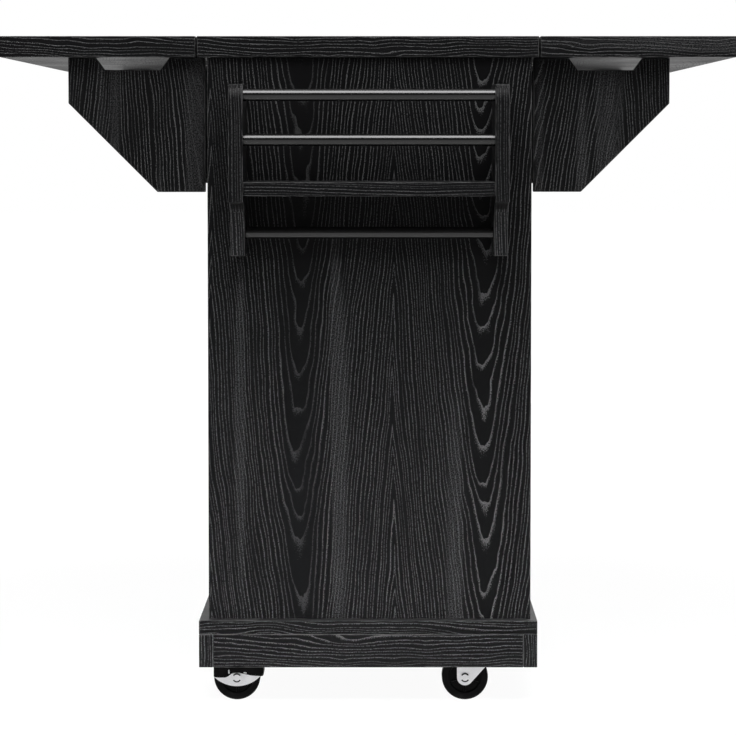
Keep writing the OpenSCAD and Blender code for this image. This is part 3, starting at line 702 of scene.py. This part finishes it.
# %% Finish the hinges
HINGE_NODES = [name for name in sorted(frame["nodes"]) if "hinge" in name or name == "shelf_pins"]


def paint(node, material):
    """Gives a frame node that stays its material."""
    mesh = frame["nodes"][node].data
    mesh.materials.clear()
    mesh.materials.append(material)


for node in HINGE_NODES:
    paint(node, BLACK_STEEL if node.startswith("bracket") else HINGE_STEEL)
paint("caster_plates", CASTER_STEEL)
print("hinge nodes:", len(HINGE_NODES))

# %% [markdown]
# ## Screw heads
# A head is a low dome with a cross sunk into its top. The ring between the round rim and the cross
# outline is filled with triangles, and the cross is pushed down. One object holds all the heads that
# move with one body.

# %% Helper for screw heads
# The cross, the flat top's rim and the floor of the recess, as shares of the head's radius and height
CROSS = [(0.18, 0.62), (-0.18, 0.62), (-0.18, 0.18), (-0.62, 0.18), (-0.62, -0.18), (-0.18, -0.18),
         (-0.18, -0.62), (0.18, -0.62), (0.18, -0.18), (0.62, -0.18), (0.62, 0.18), (0.18, 0.18)]
RIM, CROSS_FLOOR, RECESS_FLOOR = 0.92, 0.8, 0.25
HEAD_STEPS = 24
FIRST_TURN, NEXT_TURN = 0.4, 1.3


def screw_head(bm, at, facing, radius, height, turned):
    """Adds one screw head whose cross is turned by an angle."""
    spot = stand(at, facing) @ Matrix.Rotation(turned, 4, "Z")

    def ring(points, z):
        return [bm.verts.new(spot @ Vector((x * radius, y * radius, z))) for x, y in points]

    def join(first, second):
        for i in range(len(first)):
            j = (i + 1) % len(first)
            bm.faces.new([first[i], first[j], second[j], second[i]])

    foot = ring(circle(HEAD_STEPS), 0)
    rim = ring([(RIM * x, RIM * y) for x, y in circle(HEAD_STEPS)], height)
    join(foot, rim)
    bm.faces.new(foot)
    mouth = ring(CROSS, height)
    floor = ring([(CROSS_FLOOR * x, CROSS_FLOOR * y) for x, y in CROSS], RECESS_FLOOR * height)
    join(mouth, floor)
    bm.faces.new(floor)
    loops = [bm.edges.get((line[i], line[(i + 1) % len(line)])) for line in (rim, mouth)
             for i in range(len(line))]
    bmesh.ops.triangle_fill(bm, use_beauty=True, edges=loops)


def add_screws(name, holder, places, radius, height, material=CASTER_STEEL):
    """One object with a screw head at each (point, facing), which moves with the node that holds it."""
    bm = bmesh.new()
    for number, (at, facing) in enumerate(places):
        screw_head(bm, at, facing, radius, height, FIRST_TURN + NEXT_TURN * number)
    bmesh.ops.recalc_face_normals(bm, faces=bm.faces)
    dress(add_object(bm, name, material, smooth_angle=25), holder, replaces=False)


# %% [markdown]
# ## Screws of the leaf hinges
# Each plate has three screws in a zigzag, so that they don't split the wood along one line.

# %% Screws of the leaf hinges
LEAF_SCREW, LEAF_HEAD = 0.0032, 0.0006
LEAF_SPACING, ZIGZAG = 0.017, 0.004
LEAF_PLATE = 0.0018


def solids_of(node):
    """Lowest and highest corner of every solid in a frame node."""
    bm = copied_mesh(node)
    boxes = [corners_of(solid) for solid in separate_solids(bm)]
    bm.free()
    return boxes


def plate_screws(node, z):
    """Points in a zigzag along Y on the underside of each plate of a hinge node, facing down."""
    places = []
    for low, high in solids_of(node):
        middle = (low + high) / 2
        outward = 1 if abs(high.x) > abs(low.x) else -1
        for run, across in ((-1, -ZIGZAG), (0, ZIGZAG), (1, -ZIGZAG)):
            places.append(((middle.x + across * outward, middle.y + run * LEAF_SPACING, z), (0, 0, -1)))
    return places


under_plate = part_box("leaf_hinge_plates")[1].z - LEAF_PLATE
for node in ("leaf_hinge_plates", "leaf_hinges_left", "leaf_hinges_right"):
    add_screws("screws_" + node, node, plate_screws(node, under_plate), LEAF_SCREW, LEAF_HEAD)
print("leaf hinge screws are under", round(under_plate, 4))

# %% [markdown]
# ## Screws of the other hinges
# A bracket's long hinge has a row of flat screws in each half, which show when the bracket is folded.
# Each door hinge has three screws in each plate. Both kinds are countersunk, so they hardly stand proud.

# %% Screws of the bracket and door hinges
SIGN = {"left": -1, "right": 1, "near": -1, "far": 1}
HINGE_SCREW = 0.0026
# Bracket hinge: knuckle's radius, pin to a plate's face, plate's edge to its screws, their spacing,
# and the height of a head
KNUCKLE, PLATE_FACE, SCREW_ROW, SCREW_STEP, FLAT_HEAD = 0.0017, 0.0011, 0.0085, 0.030, 0.0004
# Door hinge: edge to pin, pin to each plate's face, screws from the ends and from the front
DOOR_PIN, MOVING_FACE, FIXED_FACE = 0.0025, 0.0011, 0.0020
END_ROW, FRONT_ROW, DOOR_HEAD = 0.012, 0.007, 0.0003


for side in SIDES:
    for end in ENDS:
        corner = f"{side}_{end}"
        node = "bracket_hinge_" + corner
        low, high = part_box(node)
        outward, inward = SIGN[side], -SIGN[end]
        pin_x = (low.x if side == "right" else high.x) + KNUCKLE * outward
        plate_y = (high.y if inward > 0 else low.y) - SCREW_ROW * inward
        heights = [(low.z + high.z) / 2 + SCREW_STEP * step for step in (-2, -1, 0, 1, 2)]
        moving = [((pin_x + PLATE_FACE * outward, plate_y, z), (-outward, 0, 0)) for z in heights]
        fixed = [((pin_x - PLATE_FACE * outward, plate_y, z), (outward, 0, 0)) for z in heights]
        add_screws("screws_bracket_" + corner, node, moving, HINGE_SCREW, FLAT_HEAD, BLACK_STEEL)
        add_screws("screws_body_" + corner, "bracket_hinge_plates", fixed, HINGE_SCREW, FLAT_HEAD,
                   BLACK_STEEL)

for end in ENDS:
    node = f"door_{end}_hinges"
    inward = -SIGN[end]
    moving, fixed = [], []
    for low, high in solids_of(node):
        pin_y = (low.y if inward > 0 else high.y) + DOOR_PIN * inward
        for z in (low.z + END_ROW, (low.z + high.z) / 2, high.z - END_ROW):
            moving.append(((high.x - FRONT_ROW, pin_y - MOVING_FACE * inward, z), (0, -inward, 0)))
            fixed.append(((high.x - FRONT_ROW, pin_y - FIXED_FACE * inward, z), (0, inward, 0)))
    add_screws("screws_door_" + end, node, moving, HINGE_SCREW, DOOR_HEAD)
    add_screws("screws_panel_" + end, "door_hinge_plates", fixed, HINGE_SCREW, DOOR_HEAD)
print("hinge screws are seated")

# %% [markdown]
# ## Knobs
# A knob is turned from bar: a foot against the board, a waist for two fingers and a domed head.
# The waist and the dome are arcs, so the light runs smoothly over them.

# %% Turn the knobs
FOOT_RIM, FOOT_TOP, FOOT_BEVEL = 0.0012, 0.0018, 0.0006
# Heights of the waist and of the widest place, as shares of the knob's length
WAIST_AT, SHOULDER_AT = 0.45, 0.72
# Radii of the foot and of the waist, as shares of the head's radius
FOOT_SHARE, WAIST_SHARE = 2 / 3, 0.4


def quarter(steps):
    """Sine and cosine of a quarter turn in even steps, without its start."""
    angles = [math.pi / 2 * step / steps for step in range(1, steps + 1)]
    return [(math.sin(angle), math.cos(angle)) for angle in angles]


def knob_outline(foot, waist, head, length):
    """Points of radius and height from the board outwards."""
    points = [(0, 0), (foot, 0), (foot, FOOT_RIM), (foot - FOOT_BEVEL, FOOT_TOP)]
    rise, shoulder = WAIST_AT * length, SHOULDER_AT * length
    for sine, cosine in quarter(6):
        points.append((waist + (foot - FOOT_BEVEL - waist) * (1 - sine),
                       FOOT_TOP + (rise - FOOT_TOP) * (1 - cosine)))
    for sine, cosine in quarter(6):
        points.append((waist + (head - waist) * (1 - cosine), rise + (shoulder - rise) * sine))
    for sine, cosine in quarter(10):
        points.append((head * cosine, shoulder + (length - shoulder) * sine))
    return points


KNOBS = {"drawer_knob": "knob_drawer", "door_near_knob": "knob_door_near", "door_far_knob": "knob_door_far"}
for node, name in KNOBS.items():
    low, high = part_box(node)
    radius = (high.y - low.y) / 2
    bm = bmesh.new()
    turn(bm, knob_outline(radius * FOOT_SHARE, radius * WAIST_SHARE, radius, high.x - low.x),
         (high.x, (low.y + high.y) / 2, (low.z + high.z) / 2), (-1, 0, 0))
    dress(add_object(bm, name, KNOB_METAL), node)
print("knobs stand out", round(high.x - low.x, 4), "m")

# %% [markdown]
# ## Casters: wheels
# A caster's wheel is moulded: a tread with round shoulders, a sunk disc with five ribs, and a hub.
# The section is turned about the axle, and the ribs are added to both faces. One rib points down.

# %% Mould the wheels
CORNERS = [f"{side}_{end}" for side in SIDES for end in ENDS]
# Radii of the bore, the hub and the sunk disc, the disc's depth, and the radius of the shoulders
BORE, HUB, DISC, SUNK, SHOULDER = 0.00305, 0.009, 0.0218, 0.003, 0.003
HUB_BEVEL, HUB_SLOPE, DISC_BEVEL, DISC_SLOPE = 0.0006, 0.0003, 0.0005, 0.0008
# Ribs: half widths at foot and top, how deep the top lies, and how far they run into hub and disc
RIBS = 5
RIB_FOOT, RIB_TOP, RIB_SUNK, INTO_HUB, INTO_DISC = 0.0017, 0.0010, 0.0012, 0.0005, 0.0002


def rib(bm, at, angle, inner, outer, low, high, face):
    """A rib with sloping sides on one face of a wheel: face is the sign of its side along Y."""
    out = Vector((math.cos(angle), 0, math.sin(angle)))
    side = Vector((-math.sin(angle), 0, math.cos(angle)))
    corners = []
    for height, half in ((low, RIB_FOOT), (high, RIB_TOP)):
        for reach, across in ((inner, -half), (outer, -half), (outer, half), (inner, half)):
            corners.append(bm.verts.new(at + out * reach + side * across + Vector((0, face * height, 0))))
    for loop in ((0, 1, 2, 3), (4, 5, 6, 7), (0, 1, 5, 4), (1, 2, 6, 5), (2, 3, 7, 6), (3, 0, 4, 7)):
        bm.faces.new([corners[i] for i in loop])


for corner in CORNERS:
    low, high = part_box("wheel_" + corner)
    at = (low + high) / 2
    radius, half = (high.x - low.x) / 2, (high.y - low.y) / 2
    face = [(BORE, half), (HUB - HUB_BEVEL, half), (HUB, half - HUB_BEVEL), (HUB + HUB_SLOPE, half - SUNK),
            (DISC - DISC_SLOPE, half - SUNK), (DISC, half - DISC_BEVEL), (DISC + DISC_BEVEL, half)]
    for sine, cosine in [(0, 1), *quarter(6)]:
        face.append((radius - SHOULDER + SHOULDER * sine, half - SHOULDER + SHOULDER * cosine))
    bm = bmesh.new()
    turn(bm, face + [(r, -h) for r, h in reversed(face)], at, (0, 1, 0), steps=96, close=True)
    for number in range(RIBS):
        for sign in (-1, 1):
            rib(bm, at, math.tau * number / RIBS - math.pi / 2, HUB - INTO_HUB, DISC + INTO_DISC,
                half - SUNK - INTO_DISC, half - RIB_SUNK, sign)
    bmesh.ops.recalc_face_normals(bm, faces=bm.faces)
    dress(add_object(bm, "moulded_wheel_" + corner, BLACK_PLASTIC, smooth_angle=35),
          "wheel_" + corner)
print("wheels are", round(2 * radius, 4), "m across")

# %% [markdown]
# ## Casters: forks and axles
# The forks are pressed from sheet, whose cut edges are a little round. The axle is a rivet: a plain
# stem, and a flat head on each side with a ring pressed into it by the riveting tool. Above and below
# the middle the ring is painted near black: painted shade and a painted dark reflection on the head's rim.

# %% Press the forks and turn the axles
# Near black steel for the upper and lower arcs of each axle head: painted shade
PAINTED_SHADE_STEEL = zinc_finish("painted_shade_steel", tone=0.02, roughness=0.6)
PAINTED_SHADE, SHADE_MARGIN = 1, 0.02
SHEET_EASE = 0.0003
# The pressed ring: its radii as shares of the head's, its depth and the slope of its walls, and the
# least height over or under the middle, as a share of the radius, where it is painted dark as shade
ARC_IN, ARC_OUT, RING_DEPTH, RING_SLOPE, ARC_SPAN = 0.74, 0.95, 0.0008, 0.0002, 0.55
STEM_RADIUS, HEAD_THICKNESS = 0.003, 0.002


def axle_outline(head, reach):
    """Points of radius and height of half an axle, from the middle of its face inwards."""
    ring_in, ring_out = ARC_IN * head, ARC_OUT * head
    return [(0, reach), (ring_in - RING_SLOPE, reach), (ring_in, reach - RING_DEPTH),
            (ring_out, reach - RING_DEPTH), (ring_out + RING_SLOPE, reach), (head - SHEET_EASE, reach),
            (head, reach - SHEET_EASE), (head, reach - HEAD_THICKNESS),
            (STEM_RADIUS, reach - HEAD_THICKNESS)]


for corner in CORNERS:
    eased_piece("pressed_fork_" + corner, "fork_" + corner, CASTER_STEEL, SHEET_EASE)
    low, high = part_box("axle_" + corner)
    middle, head = (low + high) / 2, (high.x - low.x) / 2
    half = axle_outline(head, (high.y - low.y) / 2)
    bm = bmesh.new()
    turn(bm, half + [(r, -h) for r, h in reversed(half)], middle, (0, 1, 0))
    # Faces of the ring above and below the middle take the painted shade
    for mesh_face in bm.faces:
        spot = mesh_face.calc_center_median() - middle
        reach = math.hypot(spot.x, spot.z)
        if (ARC_IN - SHADE_MARGIN < reach / head < ARC_OUT + SHADE_MARGIN
                and abs(spot.z) > ARC_SPAN * reach):
            mesh_face.material_index = PAINTED_SHADE
    axle = add_object(bm, "riveted_axle_" + corner, CASTER_STEEL, smooth_angle=30)
    axle.data.materials.append(PAINTED_SHADE_STEEL)
    dress(axle, "axle_" + corner)
print("forks and axles:", 2 * len(CORNERS))

# %% [markdown]
# ## Casters: brakes
# Both left casters have a toe brake: a steel crescent outside each cheek, and a black moulding that
# covers their upper part and the bar for the foot. The moulding's lower edge rises over the axle, and
# two small openings in it let the steel shine through.

# %% Press the brakes and mould their covers
def flat_plate(bm, outline, holes, at, thickness):
    """A plate in X and Z from an outline with holes, made thick along Y."""
    rims = []
    for line in [outline, *holes]:
        ring = [bm.verts.new(at + Vector((x, 0, z))) for x, z in line]
        rims += [bm.edges.new((ring[i - 1], ring[i])) for i in range(len(ring))]
    filled = bmesh.ops.triangle_fill(bm, use_beauty=True, edges=rims)["geom"]
    faces = [item for item in filled if isinstance(item, bmesh.types.BMFace)]
    lifted = bmesh.ops.extrude_face_region(bm, geom=faces)["geom"]
    bmesh.ops.translate(bm, vec=(0, thickness, 0),
                        verts=[item for item in lifted if isinstance(item, bmesh.types.BMVert)])


def ease_sharp(bm, ease):
    """Rounds every sharp edge and marks the new faces as eased."""
    bmesh.ops.dissolve_limit(bm, angle_limit=FLAT_ANGLE, verts=bm.verts, edges=bm.edges)
    bmesh.ops.recalc_face_normals(bm, faces=bm.faces)
    bm.faces.layers.float.new("eased")
    ease_edges(bm, [edge for edge in bm.edges if len(edge.link_faces) == 2
                    and edge.calc_face_angle() > math.radians(40)], ease)


# Outline of a cover and its two openings, as X and Z from the axle's middle line
COVER_TOP = 0.0145
COVER_EDGE = [(-0.0322, 0.0017), (-0.0295, 0.0006), (-0.0250, 0.0001), (-0.0160, 0.0003),
              (-0.0120, 0.0020), (-0.0075, 0.0056), (-0.0035, 0.0068), (0.0030, 0.0070),
              (0.0075, 0.0058), (0.0146, 0.0044), (0.0195, 0.0032), (0.0266, 0.0026),
              (0.0345, 0.0022), (0.0362, 0.0028), (0.0373, 0.0045)]
COVER_HOLES = [[(-0.0120, 0.0056), (-0.0100, 0.0056), (-0.0104, 0.0110), (-0.0120, 0.0110)],
               [(0.0095, 0.0060), (0.0137, 0.0056), (0.0137, 0.0074), (0.0095, 0.0078)]]
COVER_THICK = 0.0012
BAR_BACK = 0.0331
BAR_OVERLAP = 0.0002

for end in ENDS:
    node = "brake_left_" + end
    eased_piece("pressed_" + node, node, CASTER_STEEL, SHEET_EASE)
    low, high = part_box(node)
    wheel_low, wheel_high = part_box("wheel_left_" + end)
    axle = (wheel_low + wheel_high) / 2
    bm = bmesh.new()
    outline = COVER_EDGE + [(COVER_EDGE[-1][0], COVER_TOP), (COVER_EDGE[0][0], COVER_TOP)]
    for y in (low.y - COVER_THICK, high.y):
        flat_plate(bm, outline, COVER_HOLES, Vector((axle.x, y, axle.z)), COVER_THICK)
    bar = [(BAR_BACK, 0.0035), *COVER_EDGE[-3:], (COVER_EDGE[-1][0], COVER_TOP), (BAR_BACK, COVER_TOP)]
    flat_plate(bm, bar, [], Vector((axle.x, low.y - BAR_OVERLAP, axle.z)), high.y - low.y + 2 * BAR_OVERLAP)
    ease_sharp(bm, SHEET_EASE)
    dress(add_object(bm, "brake_cover_" + end, BLACK_PLASTIC), node, replaces=False)
print("brakes:", len(ENDS))

# %% [markdown]
# ## Screws of the caster plates
# A caster is pulled sideways, so its plate has four thick screws up into the base's corner block.

# %% Screws of the caster plates
PLATE_THICK, PLATE_SCREW, PLATE_HEAD = 0.0025, 0.0045, 0.0018
SCREW_X, SCREW_Y = 0.024, 0.019

places = []
for low, high in solids_of("caster_plates"):
    middle = (low + high) / 2
    for x in (-SCREW_X, SCREW_X):
        for y in (-SCREW_Y, SCREW_Y):
            places.append(((middle.x + x, middle.y + y, high.z - PLATE_THICK), (0, 0, -1)))
add_screws("screws_caster_plates", "caster_plates", places, PLATE_SCREW, PLATE_HEAD)
print("caster plate screws:", len(places))

# %% [markdown]
# ## Stage and light
# The photograph has a white ground that runs into a white background, and the object's faces are lit
# softly from above. The floor is matt and keeps the shadow, and what the camera sees of it is lifted
# towards white by light of its own.

# %% Floor
FLOOR_HALF, FLOOR_GREY, FLOOR_ROUGH, FLOOR_GLOW = 25, 0.35, 0.9, 1.06
# Share of the glow near the object, where the shadow falls, far from it, and in reflections
NEAR_GLOW, FAR_GLOW, MIRRORED_GLOW = 0.9, 1.0, 0.8
GLOW_GROWS = (0.8, 2.0)


def add_floor():
    """A wide matt floor that keeps the shadow, whitened for the camera and in reflections."""
    bm = bmesh.new()
    bmesh.ops.create_grid(bm, x_segments=1, y_segments=1, size=FLOOR_HALF)
    material, tree = start_material("floor_white")
    shader = tree.nodes["Principled BSDF"]
    for name, value in (("Base Color", grey(FLOOR_GREY)), ("Roughness", FLOOR_ROUGH),
                        ("Specular IOR Level", 0.0)):
        shader.inputs[name].default_value = value
    glow = put(tree, "Emission", {"Color": grey(1.0), "Strength": FLOOR_GLOW}).outputs[0]
    rays = put(tree, "LightPath").outputs
    away = put(tree, "VectorMath", {0: put(tree, "TexCoord").outputs["Object"]}, operation="LENGTH")
    far = ramp_between(tree, away.outputs["Value"], *GLOW_GROWS)
    seen = calc(tree, "MULTIPLY_ADD", far, FAR_GLOW - NEAR_GLOW, NEAR_GLOW)
    part = calc(tree, "MAXIMUM", calc(tree, "MULTIPLY", rays["Is Camera Ray"], seen),
                calc(tree, "MULTIPLY", rays["Is Glossy Ray"], MIRRORED_GLOW))
    blend = put(tree, "MixShader", {0: part, 1: shader.outputs[0], 2: glow})
    tree.links.new(blend.outputs[0], tree.nodes["Material Output"].inputs["Surface"])
    add_object(bm, "floor", material)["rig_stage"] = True


add_floor()
print("floor shadow keeps", round(1 - NEAR_GLOW, 2), "of its depth")

# %% [markdown]
# ## Surroundings
# A white room round the object would be mirrored in every rod and arris and turn the black grey. So
# the room is white to the camera, dim as a source of light, and to shiny surfaces it is dark except
# behind the object, where it gives the worktop its pale sheen in a low view.

# %% Surroundings
SKY_LIGHT = 0.04
DARK_WALL, WHITE_WALL = 0.10, 0.95
BACK_WALL = (0.5, 0.9)

world = bpy.data.worlds.new("studio")
bpy.context.scene.world = world
world.use_nodes = True
sky = world.node_tree
path = put(sky, "LightPath").outputs
shown = calc(sky, "MAXIMUM", path["Is Camera Ray"], path["Is Transmission Ray"])
direction = put(sky, "SeparateXYZ", {0: put(sky, "TexCoord").outputs["Generated"]}).outputs
backdrop = ramp_between(sky, direction[1], *BACK_WALL)
mirrored_level = calc(sky, "MULTIPLY_ADD", backdrop, WHITE_WALL - DARK_WALL, DARK_WALL)
level = calc(sky, "MULTIPLY", path["Is Glossy Ray"], calc(sky, "SUBTRACT", mirrored_level, SKY_LIGHT))
level = calc(sky, "MAXIMUM", calc(sky, "ADD", level, SKY_LIGHT), shown)
background = sky.nodes["Background"]
background.inputs["Color"].default_value = grey(1.0)
sky.links.new(level, background.inputs["Strength"])
print("room has", len(sky.nodes), "nodes")

# %% [markdown]
# ## Lamps
# All lamps are softboxes. Their powers come from rendering one lamp at a time and solving for the
# brightness of the slab, panel, rack and base in the photograph. The three that only light the near
# end are hidden from shiny surfaces, where they would stand as hot spots on the rods. The strip
# overhead is mirrored: it draws the bright line along each rod.

# %% Lamps
# Name, place, aim, width and height, watts, spread in degrees, and whether shiny surfaces mirror it
LAMPS = [
    ("strip_softbox", (0, -1.6, 3.0), (0, -1.601, 0), (1.2, 2.4), 90, 180, True),
    ("rack_softbox", (0, -3.4, 3.1), (0, -0.4, 0.5), (4.0, 1.6), 118, 180, False),
    ("low_softbox", (0, -4.4, 2.0), (0, -0.4, 0.5), (3.0, 1.0), 22, 180, False),
    ("base_softbox", (0, -3.0, 2.2), (0, -0.38, -0.35), (1.8, 0.3), 14, 28, False),
    ("side_softbox", (3.0, 0.2, 2.0), (0, 0, 0.5), (1.6, 2.0), 45, 180, True),
    ("front_softbox", (-3.0, 0.2, 1.8), (0, 0, 0.5), (1.6, 2.0), 55, 180, True),
    ("back_softbox", (0.4, 3.0, 2.6), (0, 0.3, 0.5), (2.6, 1.4), 75, 180, True),
]

for name, at, aim, size, watts, spread, mirrored in LAMPS:
    lamp = bpy.data.lights.new(name, "AREA")
    lamp.shape = "RECTANGLE"
    lamp.size, lamp.size_y = size
    lamp.energy = watts
    lamp.spread = math.radians(spread)
    box = bpy.data.objects.new(name, lamp)
    box.location = at
    box.rotation_euler = (Vector(aim) - Vector(at)).to_track_quat("-Z", "Y").to_euler()
    box.visible_glossy = mirrored
    bpy.context.scene.collection.objects.link(box)
bpy.context.scene.view_settings.view_transform = "Standard"
print("lamps:", len(LAMPS))

# %% [markdown]
# ## Size
# The finish must not make the object larger than its frame, so the last line prints how far the dressed
# object reaches past the frame's box on each side.

# %% Print how far the finish grew
low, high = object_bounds()
past = [*(Vector(cad_low) - Vector(low)), *(Vector(high) - Vector(cad_high))]
print("grew by", [round(distance, 5) for distance in past])
